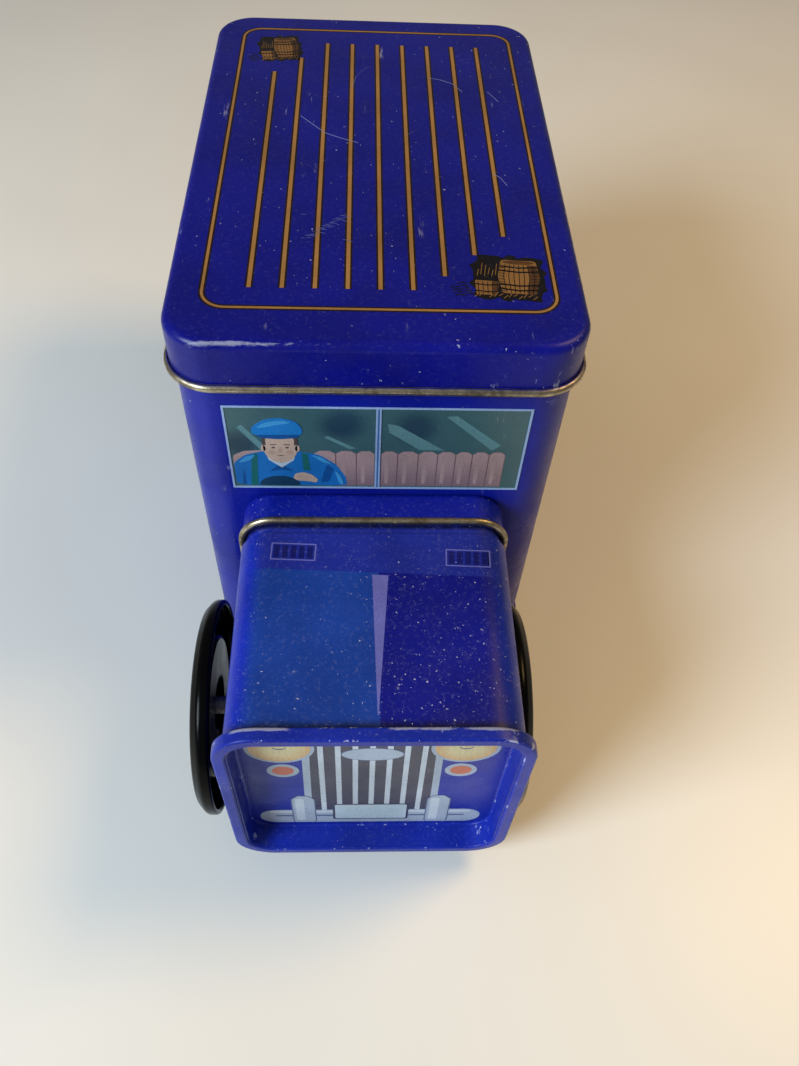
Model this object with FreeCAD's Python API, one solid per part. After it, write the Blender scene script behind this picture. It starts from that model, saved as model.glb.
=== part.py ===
import FreeCAD, Part
import math
import os

# Lithographed tinplate delivery van: a tall storage tin with a slip lid, a smaller tin laid
# on its side as the hood, and four pressed wheels on two wire axles.
# Millimetres. X is the width, the nose points to -Y, Z is up, and the wheels stand on Z = 0.

V = FreeCAD.Vector

# ---- driving dimensions -------------------------------------------------------------
TIN = 0.35                 # tinplate thickness
LID_WIDTH = 90.0           # outside of the roof lid's skirt
LID_LENGTH = 142.4
LID_TOP = 120.5            # height of the roof above the ground
LID_DEPTH = 12.2           # roof surface down to the middle of the skirt's curl
LID_CORNER = 10.5          # plan radius of the lid's corners
LID_EDGE = 2.0             # radius where the roof turns down into the skirt
LID_CURL = 1.0             # outer radius of the skirt's rolled edge
LID_JOGGLE = 0.5           # the skirt steps in by this above its curl
CURL_TURN = 262.0          # how far a skirt's edge is rolled, degrees
REST_GAP = 0.02            # kept under the roof where it lies on the tin's rim

BODY_INSET = 1.0           # from the lid's skirt in to the body's wall
BODY_BOTTOM = 4.4          # ground clearance; the bottom seam ends just under the hood collar
RIM_ROLL = 1.2             # radius of the roll round the body's open top
RIM_TURN = 300.0
SEAM_OUT = 0.9             # how far a bottom seam stands outside the wall
SEAM_IN = 0.9              # and inside it
SEAM_TALL = 3.2            # height of a seam
LOCK_WIDTH = 6.0           # folded lock seam that closes a wrapped wall

HOOD_WIDTH = 63.8
HOOD_BOTTOM = 7.9
HOOD_TOP = 73.2
HOOD_CORNER = 8.0
HOOD_LENGTH = 65.7         # body's front wall to the front of the nose rim
NOSE_OUT = 2.0             # the nose rim's stand outside the hood
NOSE_DEEP = 6.4            # nose rim's front back to the recessed panel
COLLAR_LENGTH = 9.0        # body's front wall to the middle of the collar's curl
COLLAR_GROW = 0.1          # collar's skirt beyond the hood's wall
COLLAR_CURL = 0.9
COLLAR_JOGGLE = 0.6
NECK_STEP = 1.0            # hood's wall narrows by this to enter the collar
NECK_AHEAD = 3.0           # necked band showing ahead of the collar's curl

WHEEL_RADIUS = 27.25
WHEEL_WIDTH = 4.6          # rolled inner edge to the tyre's crown
WHEEL_SHEET = 0.45
FRONT_AXLE_AHEAD = 34.2    # front wall to the front axle
REAR_AXLE_BACK = 106.0     # front wall to the rear axle
FRONT_FLOAT = 5.0          # side to side travel of the front axle
REAR_FLOAT = 0.5           # the rear axle's travel to each side of its middle place
AXLE_RADIUS = 1.2
RUNNING_GAP = 0.05         # radial clearance round an axle
SIDE_GAP = 0.05            # axial clearance between washers, hubs and eyelets
EYELET_BARREL = 1.75
EYELET_FLANGE = 3.2
EYELET_PLATE = 0.4
WASHER_RADIUS = 3.0
WASHER_PLATE = 0.4
HUB_RADIUS = 2.3
HUB_INSIDE = 0.4           # how far a hub bush stands inside its wheel's inner edge
BOSS_FACE = 3.2            # inner edge to the outside of the wheel's centre boss
HUB_FLANGE = 3.1
HUB_FLANGE_PLATE = 0.4
CAP_RADIUS = 3.1
CAP_HEIGHT = 1.5
RIVET_SHANK = 1.25
RIVET_HEAD = 2.6

# ---- places worked out from them ----------------------------------------------------
BODY_HALF_X = LID_WIDTH / 2 - BODY_INSET
BODY_HALF_Y = LID_LENGTH / 2 - BODY_INSET
BODY_CORNER = LID_CORNER - BODY_INSET
CURL_OUT = 2 * LID_CURL - TIN - LID_JOGGLE      # the lid curl's stand outside its skirt
BACK = LID_LENGTH / 2 + CURL_OUT
FRONT = -BODY_HALF_Y - HOOD_LENGTH
LID_Y = -(BACK + FRONT) / 2            # puts the middle of the whole length on Y = 0
FRONT_WALL = LID_Y - BODY_HALF_Y
BODY_TOP = LID_TOP - TIN - REST_GAP
HOOD_MID = (HOOD_TOP + HOOD_BOTTOM) / 2
HOOD_HALF_X = HOOD_WIDTH / 2
HOOD_HALF_Z = (HOOD_TOP - HOOD_BOTTOM) / 2
AXLE_Z = WHEEL_RADIUS
FRONT_AXLE_Y = FRONT_WALL - FRONT_AXLE_AHEAD
REAR_AXLE_Y = FRONT_WALL + REAR_AXLE_BACK
STACK = EYELET_PLATE + WASHER_PLATE + 2 * SIDE_GAP


# ---- outlines -----------------------------------------------------------------------
def walk(start, heading, moves, side):
    """Edges of a pressed sheet's one surface, side mm to the left of its middle line."""
    x, y = start
    angle = math.radians(heading)
    edges = []
    for kind, size, turn in moves:
        left = (-math.sin(angle), math.cos(angle))
        first = V(x + left[0] * side, y + left[1] * side, 0)
        if kind == "line":
            x += size * math.cos(angle)
            y += size * math.sin(angle)
            last = V(x + left[0] * side, y + left[1] * side, 0)
            edges.append(Part.makeLine(first, last))
            continue
        sign = 1 if turn > 0 else -1
        centre = (x + left[0] * size * sign, y + left[1] * size * sign)
        spots = []
        for part in (0.5, 1.0):
            bent = angle + math.radians(turn) * part
            reach = (size - side * sign) * sign
            spots.append(V(centre[0] + math.sin(bent) * reach, centre[1] - math.cos(bent) * reach, 0))
        edges.append(Part.Arc(first, spots[0], spots[1]).toShape())
        angle += math.radians(turn)
        x = centre[0] + math.sin(angle) * size * sign
        y = centre[1] - math.cos(angle) * size * sign
    return edges


def ribbon(start, heading, moves, thick=TIN):
    """Section of a sheet whose middle line takes the moves: ("line", length, 0) or
    ("arc", radius, turn in degrees)."""
    left = walk(start, heading, moves, thick / 2)
    right = walk(start, heading, moves, -thick / 2)
    ends = []
    for a, b in ((left[0].Vertexes[0], right[0].Vertexes[0]),
                 (left[-1].Vertexes[-1], right[-1].Vertexes[-1])):
        ends.append(Part.makeLine(a.Point, b.Point))
    return Part.Face(Part.Wire(Part.__sortEdges__(left + right + ends)))


def rounded_polygon(corners):
    """Face through (x, y, radius) corners."""
    count = len(corners)
    cuts = []
    for i, (x, y, radius) in enumerate(corners):
        here = V(x, y, 0)
        before = V(*corners[i - 1][:2], 0) - here
        after = V(*corners[(i + 1) % count][:2], 0) - here
        before.normalize()
        after.normalize()
        half = before.getAngle(after) / 2
        back = radius / math.tan(half)
        bisector = (before + after).normalize() if radius else before
        middle = here + bisector * (radius / math.sin(half) - radius) if radius else here
        cuts.append((here + before * back, middle, here + after * back, radius))
    edges = []
    for i, (enter, middle, leave, radius) in enumerate(cuts):
        if radius:
            edges.append(Part.Arc(enter, middle, leave).toShape())
        follow = cuts[(i + 1) % count][0]
        if (follow - leave).Length > 1e-6:
            edges.append(Part.makeLine(leave, follow))
    return Part.Face(Part.Wire(edges))


# ---- bodies round a rounded rectangle -----------------------------------------------
def ring(section, half_x, half_y, corner):
    """Sweep a section round a rounded rectangle. The section's x is measured outwards from
    the rectangle and its y is the height."""
    section = section.copy()
    section.rotate(V(), V(1, 0, 0), 90)
    straight_x = half_x - corner
    straight_y = half_y - corner
    pieces = []
    for turn, along, out in ((0, straight_y, half_x), (90, straight_x, half_y),
                             (180, straight_y, half_x), (270, straight_x, half_y)):
        side = section.copy()
        side.translate(V(out, -along, 0))
        bar = side.extrude(V(0, 2 * along, 0))
        bar.rotate(V(), V(0, 0, 1), turn)
        pieces.append(bar)
    for turn, sx, sy in ((0, 1, 1), (90, -1, 1), (180, -1, -1), (270, 1, -1)):
        bend = section.copy()
        bend.translate(V(corner, 0, 0))
        bend.rotate(V(), V(0, 0, 1), turn)
        bend.translate(V(sx * straight_x, sy * straight_y, 0))
        pieces.append(bend.revolve(V(sx * straight_x, sy * straight_y, 0), V(0, 0, 1), 90))
    return pieces[0].multiFuse(pieces[1:]).removeSplitter()


def slab(half_x, half_y, corner, low, high):
    """Flat rounded rectangle between two heights."""
    outline = rounded_polygon([(-half_x, -half_y, corner), (half_x, -half_y, corner),
                               (half_x, half_y, corner), (-half_x, half_y, corner)])
    outline.translate(V(0, 0, low))
    return outline.extrude(V(0, 0, high - low))


def drum(radius, x_from, x_to, y, z):
    """Cylinder along X."""
    low = min(x_from, x_to)
    return Part.makeCylinder(radius, abs(x_to - x_from), V(low, y, z), V(1, 0, 0))


def tube(outer, inner, x_from, x_to, y, z):
    return drum(outer, x_from, x_to, y, z).cut(drum(inner, x_from, x_to, y, z))


def lie_forward(shape, mid_z):
    """Turn a shape built along +Z so that it points to -Y from the body's front wall."""
    shape = shape.copy()
    shape.rotate(V(), V(1, 0, 0), 90)
    shape.translate(V(0, FRONT_WALL, mid_z))
    return shape


# ---- the storage tin ----------------------------------------------------------------
def slip_lid(half_x, half_y, corner, depth, curl, joggle):
    """Lid with its top at height 0. Its skirt points down, steps in, and is rolled outwards."""
    reach = corner - 1.5
    bend = LID_EDGE - TIN / 2
    step = 0.6
    lean = math.degrees(math.acos(1 - joggle / (2 * step)))
    straight = depth - LID_EDGE - 2 * step * math.sin(math.radians(lean))
    section = ribbon((-reach, -TIN / 2), 0, [
        ("line", reach - LID_EDGE, 0), ("arc", bend, -90), ("line", straight, 0),
        ("arc", step, -lean), ("arc", step, lean), ("arc", curl - TIN / 2, CURL_TURN)])
    rim = ring(section, half_x, half_y, corner)
    top = slab(half_x - reach, half_y - reach, corner - reach, -TIN, 0)
    return rim.fuse(top).removeSplitter()


def roof_lid():
    lid = slip_lid(LID_WIDTH / 2, LID_LENGTH / 2, LID_CORNER, LID_DEPTH, LID_CURL, LID_JOGGLE)
    lid.translate(V(0, LID_Y, LID_TOP))
    return lid


def lock_seam(length):
    """Folded strip along +Z on a wall whose outside is at X = 0."""
    fold = 0.15
    face = rounded_polygon([(0, -LOCK_WIDTH / 2, 0), (TIN, -LOCK_WIDTH / 2 + fold, fold),
                            (TIN, LOCK_WIDTH / 2 - fold, fold), (0, LOCK_WIDTH / 2, 0)])
    return face.extrude(V(0, 0, length))


def body_shell():
    wall_foot = BODY_BOTTOM + SEAM_TALL / 4
    roll = RIM_ROLL - TIN / 2
    section = ribbon((-TIN / 2, wall_foot), 90, [("line", BODY_TOP - RIM_ROLL - wall_foot, 0),
                                                 ("arc", roll, RIM_TURN)])
    shell = ring(section, BODY_HALF_X, BODY_HALF_Y, BODY_CORNER)
    seam_low = BODY_BOTTOM + SEAM_TALL
    seam_high = LID_TOP - LID_DEPTH - LID_CURL - 1.0
    seam = lock_seam(seam_high - seam_low)
    seam.rotate(V(), V(0, 0, 1), 90)
    seam.translate(V(0, BODY_HALF_Y, seam_low))
    shell = shell.fuse(seam)
    shell.translate(V(0, LID_Y, 0))
    shell = shell.cut(drum(EYELET_BARREL, -BODY_HALF_X - 1, BODY_HALF_X + 1, REAR_AXLE_Y, AXLE_Z))
    for x, z in rivet_places():
        shell = shell.cut(Part.makeCylinder(RIVET_SHANK, 2, V(x, FRONT_WALL - 1, z), V(0, 1, 0)))
    return shell


def seamed_end(half_x, half_y, corner, out, tall, deep):
    """End plate with its double seam. Height 0 is the seam's outer face, and the tin is above.
    The wall stands in the slot left in the seam, and the plate is recessed by deep."""
    foot = tall / 4
    soft = 0.6
    seam = rounded_polygon([(-SEAM_IN, 0, soft), (out, 0, soft), (out, tall, soft), (0, tall, 0),
                            (0, foot, 0), (-TIN, foot, 0), (-TIN, tall, 0), (-SEAM_IN, tall, 0)])
    reach = corner - 1.5
    bend = 0.9
    middle = -SEAM_IN - TIN / 2
    sink = ribbon((middle, soft), 90, [("line", deep - soft - bend + TIN / 2, 0), ("arc", bend, 90),
                                       ("line", reach - bend + middle, 0)])
    rim = ring(seam, half_x, half_y, corner).fuse(ring(sink, half_x, half_y, corner))
    plate = slab(half_x - reach, half_y - reach, corner - reach, deep, deep + TIN)
    return rim.fuse(plate).removeSplitter()


def body_base():
    base = seamed_end(BODY_HALF_X, BODY_HALF_Y, BODY_CORNER, SEAM_OUT, SEAM_TALL, SEAM_TALL)
    base.translate(V(0, LID_Y, BODY_BOTTOM))
    return base


# ---- the hood -----------------------------------------------------------------------
def rivet_places():
    across = HOOD_WIDTH * 0.28
    up = (HOOD_TOP - HOOD_BOTTOM) * 0.28
    return [(sx * across, HOOD_MID + sz * up) for sx in (-1, 1) for sz in (-1, 1)]


def hood_collar():
    """A shallow slip lid riveted by its top to the body's front wall."""
    collar = slip_lid(HOOD_HALF_X + COLLAR_GROW, HOOD_HALF_Z + COLLAR_GROW, HOOD_CORNER + COLLAR_GROW,
                      COLLAR_LENGTH, COLLAR_CURL, COLLAR_JOGGLE)
    collar.rotate(V(), V(1, 0, 0), 180)
    collar = lie_forward(collar, HOOD_MID)
    for x, z in rivet_places():
        collar = collar.cut(Part.makeCylinder(RIVET_SHANK, 2, V(x, FRONT_WALL - 1, z), V(0, 1, 0)))
    return collar


def rivet(x, z):
    """Domed head in the collar, clinched tail inside the body."""
    head = 0.9
    tail = 0.6
    side = rounded_polygon([(0, -TIN - head, 0), (RIVET_HEAD * 0.55, -TIN - head, 0.5),
                            (RIVET_HEAD, -TIN, 0), (RIVET_SHANK, -TIN, 0), (RIVET_SHANK, TIN, 0),
                            (RIVET_HEAD * 0.85, TIN, 0), (RIVET_HEAD * 0.7, TIN + tail, 0.3),
                            (0, TIN + tail, 0)])
    spun = side.revolve(V(), V(0, 1, 0), 360)
    spun.translate(V(x, FRONT_WALL, z))
    return spun


def collar_rivets():
    return Part.makeCompound([rivet(x, z) for x, z in rivet_places()])


def hood_shell():
    """Wrapped tube, narrowed where it enters the collar."""
    start = TIN + 0.6
    shoulder = 0.8
    slope = math.degrees(math.atan2(NECK_STEP, shoulder))
    neck = COLLAR_LENGTH + NECK_AHEAD - start
    wall_end = HOOD_LENGTH - SEAM_TALL / 4
    slant = math.hypot(NECK_STEP, shoulder)
    section_neck = ribbon((-NECK_STEP - TIN / 2, start), 90, [("line", neck, 0)])
    middle = rounded_polygon([(-NECK_STEP - TIN, start + neck, 0), (-NECK_STEP, start + neck, 0),
                              (0, start + neck + shoulder, 0), (-TIN, start + neck + shoulder, 0)])
    section_wall = ribbon((-TIN / 2, start + neck + shoulder), 90,
                          [("line", wall_end - start - neck - shoulder, 0)])
    shell = None
    for section in (section_neck, middle, section_wall):
        stretch = ring(section, HOOD_HALF_X, HOOD_HALF_Z, HOOD_CORNER)
        shell = stretch if shell is None else shell.fuse(stretch)
    seam_low = start + neck + shoulder
    seam = lock_seam(HOOD_LENGTH - SEAM_TALL - seam_low)
    seam.rotate(V(), V(0, 0, 1), -90)
    seam.translate(V(0, -HOOD_HALF_Z, seam_low))
    shell = lie_forward(shell.fuse(seam).removeSplitter(), HOOD_MID)
    return shell.cut(drum(EYELET_BARREL, -HOOD_WIDTH, HOOD_WIDTH, FRONT_AXLE_Y, AXLE_Z))


def nose_panel():
    """The hood's closed end: a recessed plate inside a stout rolled rim."""
    nose = seamed_end(HOOD_HALF_X, HOOD_HALF_Z, HOOD_CORNER, NOSE_OUT, SEAM_TALL, NOSE_DEEP)
    nose.rotate(V(), V(1, 0, 0), 180)
    nose.translate(V(0, 0, HOOD_LENGTH))
    return lie_forward(nose, HOOD_MID)


# ---- running gear -------------------------------------------------------------------
def bent_sheet(corners, thick):
    """Section of a sheet whose middle line runs through (x, y, bend radius) corners."""
    moves = []
    reach = [0.0] * len(corners)
    headings = []
    for a, b in zip(corners, corners[1:]):
        headings.append(math.degrees(math.atan2(b[1] - a[1], b[0] - a[0])))
    turns = [(b - a + 180) % 360 - 180 for a, b in zip(headings, headings[1:])]
    for i, turn in enumerate(turns, 1):
        reach[i] = corners[i][2] * math.tan(math.radians(abs(turn)) / 2)
    for i, (a, b) in enumerate(zip(corners, corners[1:])):
        moves.append(("line", math.dist(a[:2], b[:2]) - reach[i] - reach[i + 1], 0))
        if i < len(turns):
            moves.append(("arc", corners[i + 1][2], turns[i]))
    return headings[0], moves


def wheel_section():
    """Pressed wheel as (distance from the axle, outward from the rolled inner edge): raised boss,
    sunk disc, tyre swelling outwards, and an edge rolled back on itself."""
    half = WHEEL_SHEET / 2
    boss = BOSS_FACE - half
    disc = 1.45
    crown = WHEEL_WIDTH - half
    edge = WHEEL_RADIUS - half
    roll = 0.5
    corners = [(HUB_RADIUS, boss, 0), (6.3, boss, 1.0), (7.7, disc, 1.0), (17.7, disc, 0.9),
               (19.4, crown, 1.4), (24.9, crown, 1.9), (edge, 2.4, 1.6), (edge, roll + half, 0)]
    heading, moves = bent_sheet(corners, WHEEL_SHEET)
    return ribbon(corners[0][:2], heading, moves + [("arc", roll, -200)], WHEEL_SHEET)


def spin_about_axle(section, inner_x, out, y, z):
    """Turn an (outward distance from axle, outward) section round an axle along X."""
    spun = section.revolve(V(), V(0, 1, 0), 360)
    spun.rotate(V(), V(0, 0, 1), -90 * out)
    spun.translate(V(inner_x, y, z))
    return spun


def wheel(inner_x, out, y):
    return spin_about_axle(wheel_section(), inner_x, out, y, AXLE_Z)


def hub_bush(inner_x, out, y):
    """Turned bush staked into the wheel, flanged over the boss."""
    bore = AXLE_RADIUS + RUNNING_GAP
    front = BOSS_FACE + HUB_FLANGE_PLATE
    section = rounded_polygon([(bore, -HUB_INSIDE, 0), (HUB_RADIUS, -HUB_INSIDE, 0),
                               (HUB_RADIUS, BOSS_FACE, 0), (HUB_FLANGE, BOSS_FACE, 0),
                               (HUB_FLANGE, front, 0.15), (bore, front, 0)])
    return spin_about_axle(section, inner_x, out, y, AXLE_Z)


def axle_cap(inner_x, out, y):
    """Domed cap pressed on the axle's end."""
    inner = BOSS_FACE + HUB_FLANGE_PLATE + SIDE_GAP
    section = rounded_polygon([(AXLE_RADIUS, inner, 0), (CAP_RADIUS, inner, 0),
                               (CAP_RADIUS, inner + 0.5, 0.2),
                               (CAP_RADIUS * 0.6, inner + CAP_HEIGHT, 1.0), (0, inner + CAP_HEIGHT, 0),
                               (0, axle_end(), 0), (AXLE_RADIUS, axle_end(), 0)])
    return spin_about_axle(section, inner_x, out, y, AXLE_Z)


def axle_end():
    """Wheel's inner edge to the end of the axle inside its cap."""
    return BOSS_FACE + HUB_FLANGE_PLATE + SIDE_GAP + CAP_HEIGHT * 0.6


def washer(hub_x, out, y):
    """Loose washer between the hub bush's inner end and the wall's eyelet."""
    bore = AXLE_RADIUS + RUNNING_GAP
    outer_face = hub_x - out * SIDE_GAP
    return tube(WASHER_RADIUS, bore, outer_face, outer_face - out * WASHER_PLATE, y, AXLE_Z)


def eyelet(wall_x, out, y):
    """Brass eyelet that lines the axle's hole: outside flange, barrel, and clinched inside flange."""
    bore = AXLE_RADIUS + RUNNING_GAP
    clinched = -TIN - 0.3
    clinch = EYELET_FLANGE * 0.9
    section = rounded_polygon([(bore, clinched, 0), (clinch, clinched, 0.1), (clinch, -TIN, 0),
                               (EYELET_BARREL, -TIN, 0), (EYELET_BARREL, 0, 0), (EYELET_FLANGE, 0, 0),
                               (EYELET_FLANGE, EYELET_PLATE, 0.15), (bore, EYELET_PLATE, 0)])
    return spin_about_axle(section, wall_x, out, y, AXLE_Z)


def axle_set(name, y, wall_x, float_each_side, shift):
    """One axle with its wheels. The wheels stand float_each_side beyond their tightest place, and
    shift moves the whole axle sideways."""
    nodes = {}
    hub_from_middle = wall_x + STACK + float_each_side
    edge_from_middle = hub_from_middle + HUB_INSIDE
    for side, out in (("left", -1), ("right", 1)):
        inner = out * edge_from_middle + shift
        nodes[f"{name}_{side}_wheel"] = wheel(inner, out, y)
        nodes[f"{name}_{side}_hub_bush"] = hub_bush(inner, out, y)
        nodes[f"{name}_{side}_axle_cap"] = axle_cap(inner, out, y)
        nodes[f"{name}_{side}_washer"] = washer(out * hub_from_middle + shift, out, y)
        nodes[f"{name}_{side}_eyelet"] = eyelet(out * wall_x, out, y)
    reach = edge_from_middle + axle_end()
    nodes[f"{name}_axle"] = drum(AXLE_RADIUS, shift - reach, shift + reach, y, AXLE_Z)
    return nodes


# ---- the whole van ------------------------------------------------------------------
def build():
    nodes = {
        "roof_lid": roof_lid(),
        "body_shell": body_shell(),
        "body_base": body_base(),
        "hood_collar": hood_collar(),
        "collar_rivets": collar_rivets(),
        "hood_shell": hood_shell(),
        "nose_panel": nose_panel(),
    }
    nodes.update(axle_set("front", FRONT_AXLE_Y, HOOD_HALF_X, FRONT_FLOAT / 2, -FRONT_FLOAT / 2))
    nodes.update(axle_set("rear", REAR_AXLE_Y, BODY_HALF_X, REAR_FLOAT, 0.0))
    return nodes


os.makedirs("parts", exist_ok=True)
for node, shape in build().items():
    shape.exportStep(f"parts/{node}.step")
    box = shape.optimalBoundingBox(False)
    low = f"{box.XMin:8.2f}{box.YMin:8.2f}{box.ZMin:8.2f}"
    high = f"{box.XMax:8.2f}{box.YMax:8.2f}{box.ZMax:8.2f}"
    state = f"valid {shape.isValid()} solids {len(shape.Solids)} volume {shape.Volume:9.2f}"
    print(f"{node:26s} {state} {low} {high}")
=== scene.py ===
import math

import bmesh
import bpy
from mathutils import Matrix, Vector


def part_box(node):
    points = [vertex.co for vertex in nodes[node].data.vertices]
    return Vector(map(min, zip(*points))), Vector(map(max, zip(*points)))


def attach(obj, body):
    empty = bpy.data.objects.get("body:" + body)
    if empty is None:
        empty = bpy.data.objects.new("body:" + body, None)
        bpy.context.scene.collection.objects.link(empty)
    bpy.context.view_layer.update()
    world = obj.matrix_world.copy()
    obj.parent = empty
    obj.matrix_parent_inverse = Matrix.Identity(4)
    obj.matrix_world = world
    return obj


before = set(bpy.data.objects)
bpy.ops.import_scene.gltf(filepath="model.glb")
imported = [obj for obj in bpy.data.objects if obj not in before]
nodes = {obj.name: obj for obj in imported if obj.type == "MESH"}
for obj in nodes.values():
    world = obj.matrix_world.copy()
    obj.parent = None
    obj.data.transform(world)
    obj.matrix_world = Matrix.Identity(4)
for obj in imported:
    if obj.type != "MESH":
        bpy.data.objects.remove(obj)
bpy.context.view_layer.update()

MM = 0.001


# ---- places read from the frame -------------------------------------------------------
roof_low, roof_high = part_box("roof_lid")
wall_low, wall_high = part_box("body_shell")
hood_low, hood_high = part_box("hood_shell")
nose_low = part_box("nose_panel")[0]
collar_low, collar_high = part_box("hood_collar")

CURL_TALL = 1.8 * MM         # height of the roof lid's bare rolled edge
COLLAR_CURL_TALL = 1.65 * MM
CURL_EDGE = 0.2 * MM         # how softly the bare metal gives way to the ink
LOCK_SEAM = 0.35 * MM        # the folded seams stand this far out of the walls
NOSE_RECESS = 6.4 * MM

roof_middle = (roof_low + roof_high) / 2
roof_front_y = wall_low.y - 1.0 * MM
front_wall_y = wall_low.y
body_left_x, body_right_x = wall_low.x, wall_high.x
nose_face_y = nose_low.y + NOSE_RECESS
hood_middle_z = (hood_low.z + LOCK_SEAM + hood_high.z) / 2


# ---- camera, floor and light ----------------------------------------------------------
CAMERA_PLACE = (-3.62, -179.4, 244.8)                # mm
CAMERA_TURN, CAMERA_LOOK_DOWN, CAMERA_LEAN = 4.215, 53.11, 3.737     # degrees
CAMERA_LENS = 30.77
FLOOR_HALF = 3.0             # metres


def place_camera():
    """Stands in front of the nose and looks steeply down on the roof."""
    turn, down, lean = (math.radians(a) for a in (CAMERA_TURN, CAMERA_LOOK_DOWN, CAMERA_LEAN))
    data = bpy.data.cameras.new("camera")
    data.sensor_width = 36.0
    data.lens = CAMERA_LENS
    data.clip_start = 0.01
    camera = bpy.data.objects.new("camera", data)
    bpy.context.scene.collection.objects.link(camera)
    facing = (Matrix.Rotation(-turn, 4, "Z") @ Matrix.Rotation(math.pi / 2 - down, 4, "X")
              @ Matrix.Rotation(lean, 4, "Z"))
    camera.matrix_world = Matrix.Translation(Vector(CAMERA_PLACE) * MM) @ facing
    bpy.context.scene.camera = camera


def soft_light(name, place, size, power, colour):
    """Round soft light aimed at the middle of the van."""
    data = bpy.data.lights.new(name, "AREA")
    data.shape = "DISK"
    data.size = size
    data.energy = power
    data.color = colour
    light = bpy.data.objects.new(name, data)
    light.location = place
    aim = Vector((0, 0, 0.05))
    light.rotation_euler = (aim - Vector(place)).to_track_quat("-Z", "Y").to_euler()
    bpy.context.scene.collection.objects.link(light)


def light_studio():
    """A cool window to the front left, a warm lamp to the right, and a dim pale room."""
    soft_light("left_light", (-0.70, -0.52, 0.62), 0.50, 12.0, (0.78, 0.91, 1.0))
    soft_light("right_light", (0.44, 0.06, 0.66), 0.26, 3.0, (1.0, 0.64, 0.24))
    world = bpy.data.worlds.new("studio")
    world.use_nodes = True
    sky = world.node_tree.nodes["Background"]
    sky.inputs["Color"].default_value = (1.0, 0.97, 0.92, 1)
    sky.inputs["Strength"].default_value = 0.20
    bpy.context.scene.world = world
    bpy.context.scene.view_settings.view_transform = "Standard"


# ---- node tools -----------------------------------------------------------------------
def add(tree, kind, inputs=None, **settings):
    """New node. A value in inputs may be a number, a colour or another node's output."""
    made = tree.nodes.new(kind)
    for key, value in settings.items():
        setattr(made, key, value)
    for key, value in (inputs or {}).items():
        if isinstance(value, bpy.types.NodeSocket):
            tree.links.new(value, made.inputs[key])
        else:
            made.inputs[key].default_value = value
    return made


def maths(tree, operation, first, second=0.0):
    return add(tree, "ShaderNodeMath", {0: first, 1: second}, operation=operation).outputs[0]


def times(tree, first, second):
    return maths(tree, "MULTIPLY", first, second)


def plus(tree, first, second):
    return maths(tree, "ADD", first, second)


def minus(tree, first, second):
    return maths(tree, "SUBTRACT", first, second)


def larger(tree, first, second):
    return maths(tree, "MAXIMUM", first, second)


def distance(tree, value):
    return maths(tree, "ABSOLUTE", value)


def vector_maths(tree, operation, first, second=(0.0, 0.0, 0.0)):
    return add(tree, "ShaderNodeVectorMath", {0: first, 1: second}, operation=operation).outputs


def between(tree, value, low, high, out_low=0.0, out_high=1.0):
    """Smooth step of a value from low to high."""
    step = add(tree, "ShaderNodeMapRange", {"Value": value, "From Min": low, "From Max": high,
                                            "To Min": out_low, "To Max": out_high},
               interpolation_type="SMOOTHSTEP")
    return step.outputs["Result"]


def blend_colour(tree, factor, first, second, mode="MIX"):
    return add(tree, "ShaderNodeMix", {0: factor, 6: first, 7: second}, data_type="RGBA",
               blend_type=mode).outputs[2]


def object_place(tree):
    return add(tree, "ShaderNodeTexCoord").outputs["Object"]


def position(tree):
    """The three object coordinates."""
    return add(tree, "ShaderNodeSeparateXYZ", {0: object_place(tree)}).outputs


def object_normal(tree):
    normal = add(tree, "ShaderNodeNewGeometry").outputs["Normal"]
    return add(tree, "ShaderNodeVectorTransform", {0: normal}, vector_type="NORMAL",
               convert_from="WORLD", convert_to="OBJECT").outputs[0]


def noise(tree, spot, scale, detail, roughness=0.5):
    return add(tree, "ShaderNodeTexNoise", {"Vector": spot, "Scale": scale, "Detail": detail,
                                            "Roughness": roughness}).outputs["Fac"]


COLOUR, NUMBER = "NodeSocketColor", "NodeSocketFloat"
SURFACE = {"Colour": COLOUR, "Roughness": NUMBER, "Height": NUMBER}
MASK = {"Mask": NUMBER}


def new_group(name, inputs, outputs):
    """Empty shader group. inputs gives each input's default, outputs each output's kind."""
    tree = bpy.data.node_groups.new(name, "ShaderNodeTree")
    for label, default in inputs.items():
        kind = COLOUR if isinstance(default, tuple) else NUMBER
        socket = tree.interface.new_socket(label, in_out="INPUT", socket_type=kind)
        socket.default_value = default
    for label, kind in outputs.items():
        tree.interface.new_socket(label, in_out="OUTPUT", socket_type=kind)
    return tree, tree.nodes.new("NodeGroupInput").outputs, tree.nodes.new("NodeGroupOutput")


def finish_group(tree, exit_node, results):
    for label, value in results.items():
        tree.links.new(value, exit_node.inputs[label])
    return tree


# ---- shared effects -------------------------------------------------------------------
CHIP_TEAR = 1.1 * MM
CHIP_SIZES = ((620.0, 0.07, 0.15), (1500.0, 0.20, 0.25))     # cells per metre, share, radius


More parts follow.
